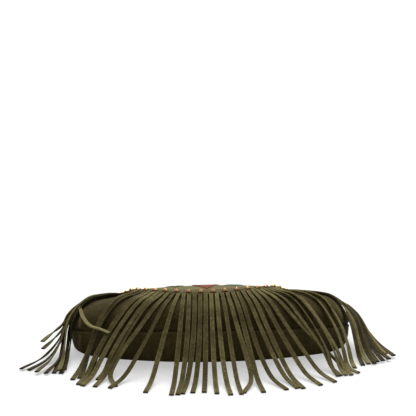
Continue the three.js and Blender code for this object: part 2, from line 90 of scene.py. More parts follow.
# In the end bunches strands lie on one another in layers, and settle where they lie on the panel. One strand
# lies over its neighbours, and those of the right bunch bridge the shoulder, as stiff leather does.
LEFT_BUNCH = -15
RIGHT_BUNCH = 18
BUNCH_LAYER = 1.0
PILE_STEP = 0.35
SETTLE = 0.7
OVER_STRAND = -14
OVER_RISE = 1.2
SHOULDER_RISE = 3.6
SHOULDER_OUT = 9.0
SHOULDER_RUN = 15.0
FAN_TURN = (0.0, 110.0)
BUNCH_TURN = (30.0, 95.0)
ROUTE_STEP = 2.0
ROUTE_LENGTH = 180.0
ROOT_OVERLAP = 2.0
ROOT_RISE = 2.0
ROOT_RUN = 14.0
TIP_RUN = 30.0
TIP_RISE = 4.0
FALL = {"past_rim": np.array([13.0, 39.0]), "share": np.array([0.66, 0.33])}

# How each strand lies, counted from the flap's tip with the right side positive: its headings at the flap
# and on the floor in degrees from the way that the base faces, how far out it falls, how much its free end
# curls, how high its tip is held, and its share of the cut length. Strands between two rows lie between them.
FAN_COLUMNS = ("strand", "leave", "land", "fall", "curl", "lift", "share")
FAN_ROWS = (
    (-24, -60, -14, 0.33, -45, 15, 0.81),
    (-23, -64, -14, 0.25, -39, 6, 0.85),
    (-22, -59, -14, 0.54, -33, 0, 1.14),
    (-21, -58, -14, 0.58, -33, 0, 1.1),
    (-20, -61, -14, 0.57, -14, 0, 1.13),
    (-19, -68, 0, 0.4, -28, 0, 1.13),
    (-18, -78, 0, 0.45, -12, 0, 1.12),
    (-17, -77, 0, 0.6, -11, 0, 1.06),
    (-16, -82, 0, 0.25, -3, 0, 1.06),
    (-15, -83, 2, 0.25, -19, 0, 1.1),
    (-14, -53, -17, 0.52, 0, 0, 1.01),
    (-13, -56, -14, 0.8, 0, 0, 0.95),
    (-12, -43, -22, 1, 0, 0, 0.9),
    (-11, -49, -23, 1, 0, 0, 1.02),
    (-10, -46, -25, 1, 0, 0, 1.02),
    (-9, -42, -26, 1, 0, 1.6, 0.9),
    (-8, -46, -24, 1, 0, 0, 1),
    (-7, -36, -68, 1, 166, 0, 0.98),
    (-6, -30, -33, 1, 0, 0, 0.98),
    (-5, -20, -15, 1, 0, 0, 0.98),
    (-4, -8, -8, 1, 0, 0, 1),
    (-2, -3, -13, 1, 0, 0, 0.97),
    (0, -3, -5, 1, 0, 0, 0.94),
    (2, 0, 4, 1, 0, 0, 1),
    (3, 5, 4, 1, 0, 0, 1),
    (4, 8, 29, 1, -100, 0, 1),
    (5, 12, 7, 1, 0, 0, 1),
    (6, 12, 14, 1, 25, 0, 1),
    (7, 17, 22, 1, 0, 0, 1),
    (8, 19, 20, 1, 0, 0, 1.02),
    (9, 24, 27, 1, 0, 0, 1.02),
    (10, 28, 33, 1, 0, 0, 1.02),
    (11, 35, 53, 1, 0, 0, 1),
    (12, 40, 28, 1, 0, 0, 0.96),
    (13, 47, 15, 1, 0, 0, 0.98),
    (14, 48, 17, 1, 0, 0, 1),
    (15, 43, 21, 1, 0, 0, 1.02),
    (16, 59, 11, 0.8, 0, 0, 0.98),
    (17, 65, 9, 0.8, 0, 0, 1),
    (18, 74, 6, 0.83, 0, 0, 1.05),
    (19, 73, 9, 0.68, 0, 0, 1.06),
    (20, 75, 10, 0.78, 0, 0, 1.1),
    (21, 72, 15, 0.78, -6, 0, 1.09),
    (22, 70, 19, 0.8, -8, 0, 1.1),
    (23, 66, 20, 0.82, 0, 0, 1.1),
    (24, 66, 24, 0.72, 0, 0, 1.08),
    (25, 57, 24, 0.8, 0, 0, 1.02),
)
FAN = dict(zip(FAN_COLUMNS, zip(*FAN_ROWS)))
# The strand that lies back across the left corner and over the next ones.
CROSSING_STRAND = -25
CROSSING = {
    "x": [-119, -133.5, -132.5, -129, -122, -113, -103],
    "depth": [92, 67, 47, 30.5, 15, 5.5, -1],
    "z": [45.5, 45.5, 44.3, 39.8, 36.4, 36, 33.5],
}

# How far strands turn on edge, in degrees: flat in the middle of the fan, and at its ends turned so that the
# camera sees them narrow and their faces catch the light from behind.
TURN = {
    "strand": [-25, -19, -15, -14, -9, 9, 11, 13, 16, 17, 18, 24, 25],
    "degrees": [48, 60, 60, 6, 0, 0, -12, -38, -42, -42, -20, -12, 4],
}
# Strands that lie in the shade of others, and a few that catch more light, as a step of tone.
TONE = {
    "strand": [-25, -24, -23, -22, -21, -20, -19, -18, -17, -16, -15, -14, -13, -12, -11, -10,
               10, 12, 14, 16, 17, 18, 19, 20, 21, 22, 23, 24, 25],
    "step": [0.3, 0.16, 0.1, -0.34, -0.4, 0, -0.42, -0.3, 0.08, -0.42, -0.42, -0.06, -0.3, -0.2, 0, 0,
             0, 0.04, 0.12, 0.14, 0.14, -0.34, 0.26, -0.42, -0.22, -0.42, -0.28, -0.1, 0.34],
}

# Studs and lozenges
STUD_PITCH = 12.85
STUD_SHIFT = -4.9
STUDS_EACH_SIDE = 11
STUD_HALF_WIDTH = 2.6
STUD_RISE = 2.8
STUD_PLINTH = 0.6
STUD_INSET = 3.4
PATCH_RISE = 0.7
PATCHES = {
    "patch_middle": {"x": -5, "depth": 66, "half_width": 14, "half_length": 26, "slot": "patch_rust"},
    "patch_crown": {"x": -3, "depth": 122, "half_width": 17, "half_length": 25, "slot": "patch_pink"},
    "patch_left": {"x": -36, "depth": 78, "half_width": 11, "half_length": 20, "slot": "patch_moss"},
    "patch_right": {"x": 25, "depth": 78, "half_width": 11, "half_length": 20, "slot": "patch_teal"},
    "patch_far_left": {"x": -43, "depth": 146, "half_width": 13, "half_length": 22, "slot": "patch_teal"},
    "patch_far_right": {"x": 39, "depth": 146, "half_width": 13, "half_length": 22, "slot": "patch_moss"},
}

chance = np.random.default_rng(11)


# Lines and tables


def from_table(table, key, column, value):
    """A column at each value of the key: a cubic through the rows, each with the slope of its neighbours."""
    keys = np.array(table[key], float)
    rows = np.array(table[column], float)
    at = np.clip(value, keys[0], keys[-1])
    k = np.clip(np.searchsorted(keys, at) - 1, 0, len(keys) - 2)
    low = np.maximum(np.arange(len(keys)) - 1, 0)
    high = np.minimum(np.arange(len(keys)) + 1, len(keys) - 1)
    slope = (rows[high] - rows[low]) / (keys[high] - keys[low])
    span = keys[k + 1] - keys[k]
    t = (at - keys[k]) / span
    ends = rows[k] * (2 * t**3 - 3 * t**2 + 1) + rows[k + 1] * (3 * t**2 - 2 * t**3)
    return ends + slope[k] * span * (t**3 - 2 * t**2 + t) + slope[k + 1] * span * (t**3 - t**2)


def section(depth, column):
    """The body's seam height, crown height or roll at a depth."""
    return from_table(SECTIONS, "depth", column, depth)


def smoothstep(value, low, high):
    """0 below low, 1 above high, and 3t² - 2t³ between."""
    t = np.clip((value - low) / (high - low), 0, 1)
    return t * t * (3 - 2 * t)


def bell(value, middle, spread):
    """A bell of height 1: e to the power of minus the square of (value - middle) / spread."""
    return np.exp(-(((value - middle) / spread) ** 2))


def distance_along(line):
    """How far along a polyline each of its points lies."""
    return np.concatenate([[0], np.cumsum(np.linalg.norm(np.diff(line, axis=0), axis=1))])


def point_at(line, along):
    """Points at given distances along a polyline."""
    marks = distance_along(line)
    return np.stack([np.interp(along, marks, column) for column in line.T], -1)


def resample(line, count):
    """Points at equal steps along a polyline, both ends among them."""
    return point_at(line, np.linspace(0, distance_along(line)[-1], count))


def arc(x, depth, radius, start, end, count=200):
    """An arc in plan, with angles counted from the way that the base faces towards the right."""
    angle = np.linspace(start, end, count)
    return np.stack([x + radius * np.sin(angle), depth - radius * np.cos(angle)], -1)


def mirrored(right):
    """A plan line from its left end to its right end, from its right half."""
    return np.vstack([right[::-1] * (-1, 1), right[1:]])


def smooth_line(stations, steps=24):
    """A centripetal Catmull-Rom curve through the stations, carried straight on past both ends."""
    ends = np.vstack([2 * stations[0] - stations[1], stations, 2 * stations[-1] - stations[-2]])
    before, start, end, after = ends[:-3], ends[1:-2], ends[2:-1], ends[3:]
    d0, d1, d2 = (np.sqrt(np.linalg.norm(b - a, axis=1))[:, None] for a, b in
                  ((before, start), (start, end), (end, after)))
    leave = d1 * ((start - before) / d0 - (end - before) / (d0 + d1) + (end - start) / d1)
    land = d1 * ((end - start) / d1 - (after - start) / (d1 + d2) + (after - end) / d2)
    t = np.linspace(0, 1, steps, endpoint=False)[:, None, None]
    bend = (3 * (end - start) - 2 * leave - land) * t**2 + (2 * (start - end) + leave + land) * t**3
    run = start + leave * t + bend
    return np.vstack([run.transpose(1, 0, 2).reshape(-1, 3), stations[-1:]])


# The bag's plan lines and heights

SEAM_POINTS = 181
FLAP_POINTS = 361


def seam_line():
    """The seam in plan: the base's wide arc, a corner arc at each end, and straight sides that taper."""
    corner_x = (BASE_RADIUS - CORNER_RADIUS) * np.sin(BASE_SPREAD)
    corner_depth = BASE_RADIUS - (BASE_RADIUS - CORNER_RADIUS) * np.cos(BASE_SPREAD)
    base = arc(0, BASE_RADIUS, BASE_RADIUS, 0, BASE_SPREAD)
    corner = arc(corner_x, corner_depth, CORNER_RADIUS, BASE_SPREAD, np.pi / 2 + SIDE_TAPER)
    side_x, side_depth = corner[-1]
    mouth = [side_x - (MOUTH_DEPTH - side_depth) * np.tan(SIDE_TAPER), MOUTH_DEPTH]
    return resample(mirrored(np.vstack([base, corner[1:], [mouth]])), SEAM_POINTS)


def flap_line():
    """The flap's free edge in plan: a round tip, then straight sides to the fold at the mouth."""
    tip = arc(0, FLAP_TIP_DEPTH + FLAP_RADIUS, FLAP_RADIUS, 0, FLAP_SPREAD)
    return resample(mirrored(np.vstack([tip, [[FLAP_HALF_WIDTH, MOUTH_DEPTH]]])), FLAP_POINTS)


SEAM = seam_line()
SEAM_LENGTH = distance_along(SEAM)[-1]
HALF_WIDTH = SEAM[:, 0].max()
MOUTH_HALF_WIDTH = SEAM[-1, 0]
FLAP_EDGE = flap_line()
FLAP_EDGE_LENGTH = distance_along(FLAP_EDGE)[-1]


def nearest(line, x, depth):
    """How far inside a plan line each point lies (negative outside), and the depth of the nearest place on
    the line and how far along it is."""
    start = line[:-1]
    along = np.diff(line, axis=0)
    from_x = x[..., None] - start[:, 0]
    from_depth = depth[..., None] - start[:, 1]
    t = np.clip((from_x * along[:, 0] + from_depth * along[:, 1]) / (along**2).sum(1), 0, 1)
    apart = np.hypot(from_x - t * along[:, 0], from_depth - t * along[:, 1])
    k = apart.argmin(-1)
    pick = (np.take_along_axis(grid, k[..., None], -1)[..., 0] for grid in (t, apart, from_x, from_depth))
    t, apart, from_x, from_depth = pick
    side = np.where(along[k, 0] * from_depth - along[k, 1] * from_x < 0, -1.0, 1.0)
    way = distance_along(line)[k] + t * np.linalg.norm(along[k], axis=-1)
    return side * apart, start[k, 1] + t * along[k, 1], way


def quarter_round(share):
    """A quarter circle from 0 at the rim to 1 where the roll ends."""
    return np.sqrt(1 - (1 - np.clip(share, 0, 1)) ** 2)


def front_height(x, depth):
    """The front panel: a quarter round up from the seam to a crown that droops with the square of x."""
    inside, rim_depth, _ = nearest(SEAM, x, depth)
    seam = section(rim_depth, "seam")
    crown = section(depth, "crown") * (1 - SIDE_DROOP * (x / HALF_WIDTH) ** 2)
    return seam + (crown - seam) * quarter_round(inside / section(rim_depth, "roll"))


def back_height(x, depth):
    """The back panel: a quarter round down from the seam to the flat that the bag lies on."""
    inside, rim_depth, _ = nearest(SEAM, x, depth)
    return (section(rim_depth, "seam") - GAP) * (1 - quarter_round(inside / FLOOR_ROLL))


def flap_top(x, depth):
    """The flap's upper side, which lies over the fringe's head on the front panel."""
    return front_height(x, depth) + FLAP_LIFT + FLAP_THICKNESS


def tip_shift(depth):
    """How far the flap's tip leans to one side, dying away towards the fold."""
    return FLAP_TIP_SHIFT * (MOUTH_DEPTH - depth) / (MOUTH_DEPTH - FLAP_TIP_DEPTH)


def flap_edge(from_tip, inset=0.0):
    """Places a distance from the flap's tip along its edge, moved in by the inset, with the way out."""
    way = np.clip(FLAP_EDGE_LENGTH / 2 + np.asarray(from_tip, float), 0.01, FLAP_EDGE_LENGTH - 0.01)
    ahead = point_at(FLAP_EDGE, way + 0.01) - point_at(FLAP_EDGE, way - 0.01)
    ahead /= np.linalg.norm(ahead, axis=-1, keepdims=True)
    out = np.stack([ahead[..., 1], -ahead[..., 0]], -1)
    at = point_at(FLAP_EDGE, way)
    at[..., 0] += tip_shift(at[..., 1])
    return at - out * np.asarray(inset)[..., None], out


# Meshes


def grid_faces(rows, columns, first=0, around=False):
    """Four-cornered faces between the points of a grid, closed on itself across its columns if around."""
    index = first + np.arange(rows * columns).reshape(rows, columns)
    if around:
        index = np.column_stack([index, index[:, 0]])
    corners = (index[:-1, :-1], index[1:, :-1], index[1:, 1:], index[:-1, 1:])
    return np.stack(corners, -1).reshape(-1, 4).tolist()


def tube_faces(rings, sides, count=1):
    """Faces of closed tubes, one after another: each ring closed on itself, with a cap at both ends."""
    faces = []
    size = rings * sides
    for first in range(0, count * size, size):
        last = first + size
        faces += grid_faces(rings, sides, first, around=True)
        faces += [list(range(first, first + sides)), list(range(last - sides, last))]
    return faces


def wall(outer, inner):
    """A closed wall between two grids of points, joined along all four edges: its points and faces."""
    rows, columns = outer.shape[:2]
    count = rows * columns
    index = np.arange(count).reshape(rows, columns)
    rim = np.concatenate([index[0, :-1], index[:-1, -1], index[-1, :0:-1], index[:0:-1, 0]])
    band = np.stack([rim, np.roll(rim, -1), np.roll(rim, -1) + count, rim + count], -1).tolist()
    faces = grid_faces(rows, columns) + grid_faces(rows, columns, count) + band
    return np.concatenate([outer.reshape(-1, 3), inner.reshape(-1, 3)]), faces


def normals(grid):
    """The normals of a grid of points, from the cross product of its two ways."""
    down, across = np.gradient(grid, axis=(0, 1))
    normal = np.cross(down, across)
    return normal / np.maximum(np.linalg.norm(normal, axis=-1, keepdims=True), 1e-9)


def joined(parts):
    """Several sets of points and faces as one."""
    points = np.concatenate([p for p, _ in parts])
    starts = np.cumsum([0] + [len(p) for p, _ in parts])
    faces = [[k + start for k in face] for (_, own), start in zip(parts, starts) for face in own]
    return points, faces


def piece(name, shape, material, replaced=(), tone=None, sharp=40):
    """A finished piece of the bag, from its points and faces in millimetres, on the bag's one body."""
    points, faces = shape
    mesh = bpy.data.meshes.new(name)
    mesh.from_pydata(((points - (0, ORIGIN_DEPTH, 0)) * MM).tolist(), [], faces)
    work = bmesh.new()
    work.from_mesh(mesh)
    bmesh.ops.recalc_face_normals(work, faces=work.faces)
    work.to_mesh(mesh)
    work.free()
    mesh.shade_smooth()
    mesh.set_sharp_from_angle(angle=np.radians(sharp))
    if tone is not None:
        mesh.attributes.new("tone", "FLOAT", "POINT").data.foreach_set("value", np.ravel(tone))
    mesh.materials.append(material)
    made = bpy.data.objects.new(name, mesh)
    bpy.context.scene.collection.objects.link(made)
    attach(made, "root")
    if replaced:
        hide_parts(*replaced)
    return made


# Materials


def linear(colour):
    """An sRGB hex colour as linear red, green, blue and alpha."""
    value = np.array([int(colour[k:k + 2], 16) for k in (1, 3, 5)]) / 255
    return (*np.where(value <= 0.04045, value / 12.92, ((value + 0.055) / 1.055) ** 2.4), 1.0)


def node(tree, kind, settings, inputs):
    """Adds a node with its settings, and gives each input a value or a link from another node's output."""
    made = tree.nodes.new(kind)
    for name, value in settings.items():
        setattr(made, name, value)
    for name, value in inputs.items():
        if isinstance(value, bpy.types.NodeSocket):
            tree.links.new(value, made.inputs[name])
        else:
            made.inputs[name].default_value = value
    return made


def new_material(name):
    """An empty material, its tree and the piece's own coordinates in metres."""
    material = bpy.data.materials.new(name)
    material.use_nodes = True
    tree = material.node_tree
    tree.nodes.clear()
    place = node(tree, "ShaderNodeTexCoord", {}, {}).outputs["Object"]
    return material, tree, place


def noise(tree, place, size, detail):
    """Noise of a size in metres."""
    made = node(tree, "ShaderNodeTexNoise", {}, {"Vector": place, "Scale": 1 / size, "Detail": detail})
    return made.outputs["Fac"]


def scaled(tree, value, factor, rest):
    """A value times a factor, plus the rest."""
    made = node(tree, "ShaderNodeMath", {"operation": "MULTIPLY_ADD"}, {0: value, 1: factor, 2: rest})
    return made.outputs[0]


def mixed(tree, share, first, second):
    """Two colours mixed by a share."""
    made = node(tree, "ShaderNodeMix", {"data_type": "RGBA"}, {0: share, 6: first, 7: second})
    return made.outputs[2]


def bumped(tree, height, strength, distance):
    """Normals that follow a height, over a distance in metres."""
    made = node(tree, "ShaderNodeBump", {}, {"Strength": strength, "Distance": distance, "Height": height})
    return made.outputs["Normal"]


def tone_attribute(tree):
    """The tone at each point: painted shade and painted light on suede, and the rubbed film on brass."""
    return node(tree, "ShaderNodeAttribute", {"attribute_name": "tone"}, {}).outputs["Fac"]


def surfaced(material, tree, inputs):
    """Gives a material the surface of one shader."""
    shader = node(tree, "ShaderNodeBsdfPrincipled", {}, inputs)
    node(tree, "ShaderNodeOutputMaterial", {}, {"Surface": shader.outputs["BSDF"]})
    return material


# Sizes in metres of what the suede shows: brushed patches, creases and the nap's tufts. The real fibres
# are about 0.1 mm, too fine to show, so the tufts are drawn 0.9 mm wide.
NAP_PATCH = 0.014
NAP_SMEAR = 0.004
NAP_TUFT = 0.0009
NAP_HEIGHT = 0.0003
# How much each of them moves the mix of colours, and the level that it starts from.
PATCH_WEIGHT = 0.45
SMEAR_WEIGHT = 0.4
TUFT_WEIGHT = 0.8
NAP_LEVEL = -0.325
# Where each colour stands in the mix.
NAP_STOPS = {"deep": 0.0, "shade": 0.2, "face": 0.52, "worn": 0.95}


def suede(name, shade, face, worn, deep=None):
    """Suede is split leather with a brushed nap: matt and soft, darker where the nap lies away, and paler
    where fingers have brushed it or a strip was cut. Three sizes of noise mix its three colours. A piece with
    a deep colour also has a tone at each point, which moves the mix: mostly painted shade and painted light."""
    material, tree, place = new_material(name)
    patch = noise(tree, place, NAP_PATCH, 2.0)
    smear = noise(tree, place, NAP_SMEAR, 3.0)
    tuft = noise(tree, place, NAP_TUFT, 2.0)
    level = scaled(tree, patch, PATCH_WEIGHT, NAP_LEVEL)
    level = scaled(tree, smear, SMEAR_WEIGHT, level)
    level = scaled(tree, tuft, TUFT_WEIGHT, level)
    # The tone moves the mix by painted shade and painted light, down to the deep colour.
    if deep:
        level = scaled(tree, tone_attribute(tree), 1.0, level)
    ramp = node(tree, "ShaderNodeValToRGB", {}, {"Fac": level})
    stops = ramp.color_ramp.elements
    stops[0].position = NAP_STOPS["shade"]
    stops[0].color = linear(shade)
    stops[1].position = NAP_STOPS["worn"]
    stops[1].color = linear(worn)
    stops.new(NAP_STOPS["face"]).color = linear(face)
    if deep:
        stops.new(NAP_STOPS["deep"]).color = linear(deep)
    return surfaced(material, tree, {
        "Base Color": ramp.outputs["Color"], "Roughness": 0.95, "Specular IOR Level": 0.12,
        "Sheen Weight": 0.18, "Sheen Roughness": 0.5, "Sheen Tint": linear("#C8BE96"),
        "Normal": bumped(tree, scaled(tree, smear, 0.6, tuft), 0.55, NAP_HEIGHT),
    })


# The wave texture's scale, which sets the plies about 0.8 mm apart, and how deep they lie in metres.
PLY_SCALE = 400.0
PLY_HEIGHT = 0.0001


def thread(name, shade, face):
    """Waxed sewing thread: twisted plies about 0.8 mm apart, in relief, with a painted highlight along each
    ply.
    """
    material, tree, place = new_material(name)
    turned = node(tree, "ShaderNodeMapping", {}, {"Vector": place, "Rotation": (0.6, 0.4, 0.7)})
    wave = node(tree, "ShaderNodeTexWave", {},
                {"Vector": turned.outputs[0], "Scale": PLY_SCALE, "Distortion": 2.0})
    plies = wave.outputs["Fac"]
    return surfaced(material, tree, {
        "Base Color": mixed(tree, plies, linear(shade), linear(face)), "Roughness": 0.6,
        "Normal": bumped(tree, plies, 0.4, PLY_HEIGHT),
    })


# Sizes in metres of the brass's film and scratches, and how deep a scratch is.
FILM_SIZE = 1 / 600
SCRATCH_SIZE = 0.0005
SCRATCH_DEPTH = 0.0001


def stamped_brass(name, deep, shade, face):
    """Stamped brass, antiqued: warm metal with a dull film, which is dark in the low places and rubbed off
    the tops, and fine handling scratches about 0.5 mm apart."""
    material, tree, place = new_material(name)
    film = noise(tree, place, FILM_SIZE, 4.0)
    scratch = noise(tree, place, SCRATCH_SIZE, 2.0)
    rubbed = mixed(tree, film, linear(shade), linear(face))
    rough = node(tree, "ShaderNodeMapRange", {}, {"Value": film, "To Min": 0.3, "To Max": 0.55})
    return surfaced(material, tree, {
        "Base Color": mixed(tree, tone_attribute(tree), linear(deep), rubbed), "Metallic": 1.0,
        "Roughness": rough.outputs[0], "Normal": bumped(tree, scratch, 0.25, SCRATCH_DEPTH),
    })


BODY_SUEDE = suede("olive_body_suede", "#372F15", "#4D4424", "#675D3A", "#140F06")
FLAP_SUEDE = suede("olive_flap_suede", "#575031", "#726A47", "#8B835D", "#302A17")
STRIP_SUEDE = suede("olive_cut_suede_strip", "#383119", "#534B2B", "#8E8558", "#1E190B")
PATCH_SUEDE = {
    "patch_rust": suede("rust_suede", "#6A3626", "#8A4A34", "#A4664C"),
    "patch_pink": suede("pink_suede", "#8E2A5E", "#B03A78", "#C85E96"),
    "patch_moss": suede("moss_suede", "#43501F", "#5A6A30", "#76844C"),
    "patch_teal": suede("teal_suede", "#1C545C", "#2C6F78", "#4C8E96"),
}
OLIVE_THREAD = thread("olive_waxed_thread", "#3C3722", "#6E6748")
STUD_BRASS = stamped_brass("stamped_antique_brass", "#5E3C1C", "#CE9858", "#FFDAA2")


# Body panels

PANEL_RAYS = 260
ROLL_ROWS = 30
FLAT_ROWS = 34
LEFT_FOLD_X = -133.4
RIGHT_FOLD_X = 132.0
# Points of the seam from its middle to past a corner.
CORNER_STEPS = 60
# Heights of the panels' low relief, and where the bead lies under the seam.
FOLD_RISE = 1.3
SEAM_DIP = 0.8
SEAM_BEAD = 0.55
BEAD_PLACE = 1.9
FRONT_GATHER = 0.22
BACK_GATHER = 0.2
FRONT_SAG = 0.45
BACK_SLACK = 0.4
# Steps of tone: painted shade over the whole front, and at the left corner, which lies in the shade
# of the bunch; painted shade in the seam beside a painted highlight on its bead; and a painted
# highlight along the corners' ridges.
FRONT_PAINTED_SHADE = -0.16
BACK_TONE = 0.05
CORNER_SHADE = 0.16
SEAM_SHADE = 0.2
BEAD_PAINTED_HIGHLIGHT = 0.25
RIDGE_PAINTED_HIGHLIGHT = 0.95


def panel_grid(height, rolls):
    """Rays from the seam to the mouth: close rows over the roll at the rim, then even rows to the mouth."""
    way = np.linspace(SIDE_EDGE, SEAM_LENGTH - SIDE_EDGE, PANEL_RAYS)
    edge = point_at(SEAM, way)
    far = np.stack([np.linspace(-1, 1, PANEL_RAYS) * MOUTH_HALF_WIDTH, np.full(PANEL_RAYS, MOUTH_DEPTH)], -1)
    reach = np.linalg.norm(far - edge, axis=1)[:, None]
    roll = np.minimum(rolls(edge[:, 1])[:, None], reach * 0.6)
    turn = np.pi / 2 * np.linspace(0, 1, ROLL_ROWS) ** 1.7
    rolled = roll * (1 - np.cos(turn)) / reach
    flat = roll / reach + (1 - roll / reach) * np.linspace(0, 1, FLAT_ROWS + 1)[1:]
    share = np.concatenate([rolled, flat], axis=1)[..., None]
    plan = edge[:, None] * (1 - share) + far[:, None] * share
    x, depth = plan[..., 0], plan[..., 1]
    return np.stack([x, depth, height(x, depth)], -1), way[:, None]


def from_rim(grid):
    """How far each point of a grid lies from the seam, along the surface."""
    steps = np.linalg.norm(np.diff(grid, axis=1), axis=-1)
    return np.concatenate([np.zeros((len(grid), 1)), np.cumsum(steps, axis=1)], axis=1)


def corner_folds(way):
    """A soft upright ridge at each end, where the wall turns the corner."""
    marks = distance_along(SEAM)
    half = len(SEAM) // 2
    to_left = slice(half - CORNER_STEPS + 1, half + 1)
    to_right = slice(half, half + CORNER_STEPS)
    left = np.interp(LEFT_FOLD_X, SEAM[to_left, 0], marks[to_left])
    right = np.interp(RIGHT_FOLD_X, SEAM[to_right, 0], marks[to_right])
    return bell(way, left, 2.6) + 0.8 * bell(way, right, 3.0)


def puckers(way):
    """Small gathers along a sewn edge, 7 to 9 mm apart and uneven."""
    return np.sin(way / 1.25 + 1.4 * np.sin(way / 17)) * (0.6 + 0.4 * np.sin(way / 23 + 1))


def front_panel():
    """The front half: it dips into the seam, gathers there, folds at the corners and sags between them."""
    grid, way = panel_grid(front_height, lambda depth: section(depth, "roll"))
    rim = from_rim(grid)
    x, depth = grid[..., 0], grid[..., 1]
    dip = -SEAM_DIP * bell(rim, 0, 0.9)
    gather = FRONT_GATHER * puckers(way) * np.exp(-rim / 7) * smoothstep(rim, 0.4, 2.5)
    fold = corner_folds(way) * smoothstep(rim, 1, 4) * (1 - smoothstep(rim, 14, 34))
    sag = -FRONT_SAG * (1 + np.sin(x / 15 + 0.6) * np.sin(depth / 19 + 1.1)) * smoothstep(rim, 6, 30)
    outer = grid + normals(grid) * (dip + gather + FOLD_RISE * fold + sag)[..., None]
    # Painted shade over the front and in the seam, and a painted highlight along the corner ridges.
    tone = FRONT_PAINTED_SHADE - SEAM_SHADE * bell(rim, 0, 1.0) + RIDGE_PAINTED_HIGHLIGHT * fold**2
    return wall(outer, grid - normals(grid) * WALL), np.stack([tone, np.zeros_like(tone)])


def back_panel():
    """The back half: a rolled edge under the seam, a wall that gathers and folds, then the flat underside."""
    grid, way = panel_grid(back_height, lambda depth: np.full(len(depth), FLOOR_ROLL))
    rim = from_rim(grid)
    out = -normals(grid)
    bead = SEAM_BEAD * bell(rim, BEAD_PLACE, 1.1) - SEAM_DIP * bell(rim, 0, 0.7)
    gather = BACK_GATHER * puckers(way + 2) * np.exp(-rim / 8) * smoothstep(rim, 0.4, 2.5)
    tall = section(point_at(SEAM, way[:, 0])[:, 1], "seam")[:, None]
    upright = smoothstep(rim, 1, 4) * (1 - smoothstep(rim, 0.75 * tall, tall))
    fold = corner_folds(way) * upright
    slack = BACK_SLACK * np.sin(way / 21 + rim / 9) * np.sin(way / 8.5 + 0.7) * upright
    outer = grid + out * (bead + gather + FOLD_RISE * fold + slack)[..., None]
    outer[..., 2] = np.maximum(outer[..., 2], 0)
    # Painted highlight on the bead, painted shade in the seam and at the left corner, and a painted highlight
    # along the corner ridges.
    seam_shade_and_highlight = BEAD_PAINTED_HIGHLIGHT * bell(rim, BEAD_PLACE, 1.0) - SEAM_SHADE * bell(rim, 0, 0.8)
    tone = BACK_TONE - CORNER_SHADE * smoothstep(-grid[..., 0], 50, 110) + seam_shade_and_highlight + RIDGE_PAINTED_HIGHLIGHT * fold**2
    return wall(outer, grid - out * WALL), np.stack([tone, np.zeros_like(tone)])


front_shape, front_painted_light = front_panel()
back_shape, back_painted_light = back_panel()
piece("front_panel_suede", front_shape, BODY_SUEDE, ["front_panel"], front_painted_light)
piece("back_panel_suede", back_shape, BODY_SUEDE, ["back_panel"], back_painted_light)


# Flap

FLAP_RAYS = 240
BORDER_ROWS = 26
BORDER = 13.0
LYING_ROWS = 44
FOLD_ANGLES = np.radians(np.linspace(64, -90, 20))
EDGE_ROUND = 0.7
# Heights of the flap's low relief, and its steps of tone.
STITCH_DIP = 0.35
BORDER_SWELL = 0.3
EDGE_RIPPLE = 0.18
FLAP_SAG = 0.35
FLAP_TONE = 0.05
BORDER_SHADE = 0.16
STITCH_SHADE = 0.1


def flap():
    """The flap lies over the front panel from its round edge to the mouth, then folds down behind it.
    Its cut edge is rounded, and its sewn border swells between two rows of stitches."""
    half = FLAP_EDGE_LENGTH / 2 - FLAP_SIDE_EDGE
    way = np.linspace(-half, half, FLAP_RAYS)
    edge, _ = flap_edge(way)
    far = np.stack([np.linspace(-1, 1, FLAP_RAYS) * FLAP_HALF_WIDTH, np.full(FLAP_RAYS, MOUTH_DEPTH)], -1)
    reach = np.linalg.norm(far - edge, axis=1)[:, None]
    border = np.minimum(BORDER, 0.5 * reach) * np.linspace(0, 1, BORDER_ROWS) ** 1.3
    lying = border[:, -1:] + (reach - border[:, -1:]) * np.linspace(0, 1, LYING_ROWS + 1)[1:]
    share = (np.concatenate([border, lying], axis=1) / reach)[..., None]
    plan = edge[:, None] * (1 - share) + far[:, None] * share
    x, depth = plan[..., 0], plan[..., 1]
    inset, _, _ = nearest(FLAP_EDGE, x - tip_shift(depth), depth)
    inset = np.maximum(inset, 0)
    rounded = -EDGE_ROUND * (1 - quarter_round(inset / EDGE_ROUND))
    sewn = sum(-STITCH_DIP * bell(inset, row, 0.7) for row in STITCH_ROWS)
    swell = BORDER_SWELL * bell(inset, 5.2, 2.2)
    ripple = EDGE_RIPPLE * np.sin(way[:, None] * 2 * np.pi / STITCH_PITCH) * bell(inset, STITCH_ROWS[0], 1.6)
    sag = FLAP_SAG * np.sin(x / 19 + 1) * np.sin(depth / 23) * smoothstep(inset, 10, 30)
    sag *= 1 - smoothstep(depth, 150, 185)
    base = flap_top(x, depth)
    radius = flap_top(far[:, 0], far[:, 1])[:, None] / 2
    layers = []
    for inside, relief in ((0.0, rounded + sewn + swell + ripple + sag), (FLAP_THICKNESS, np.zeros_like(x))):
        top = np.stack([x, depth, base - inside + relief], -1)
        out = MOUTH_DEPTH + GAP + (radius - inside) * np.cos(FOLD_ANGLES)
        down = radius + (radius - inside) * np.sin(FOLD_ANGLES)
        folded = np.stack([np.broadcast_to(far[:, :1], out.shape), out, down], -1)
        layers.append(np.concatenate([top, folded], axis=1))
    # Darker over the sewn border, up to 7 to 11 mm in, and along the inner row of stitches.
    border_darkening = -BORDER_SHADE * (1 - smoothstep(inset, 7, 11)) - STITCH_SHADE * bell(inset, STITCH_ROWS[1], 0.6)
    tone = FLAP_TONE + np.concatenate([border_darkening, np.zeros_like(out)], axis=1)
    return wall(*layers), np.stack([tone, tone])


flap_shape, flap_tone = flap()
piece("flap_suede", flap_shape, FLAP_SUEDE, ["flap"], flap_tone)


# Fringe

NUMBERS = np.arange(-STRANDS_EACH_SIDE, STRANDS_EACH_SIDE + 1)
STRAND_STEPS = 84
HEAD_STEPS = 160
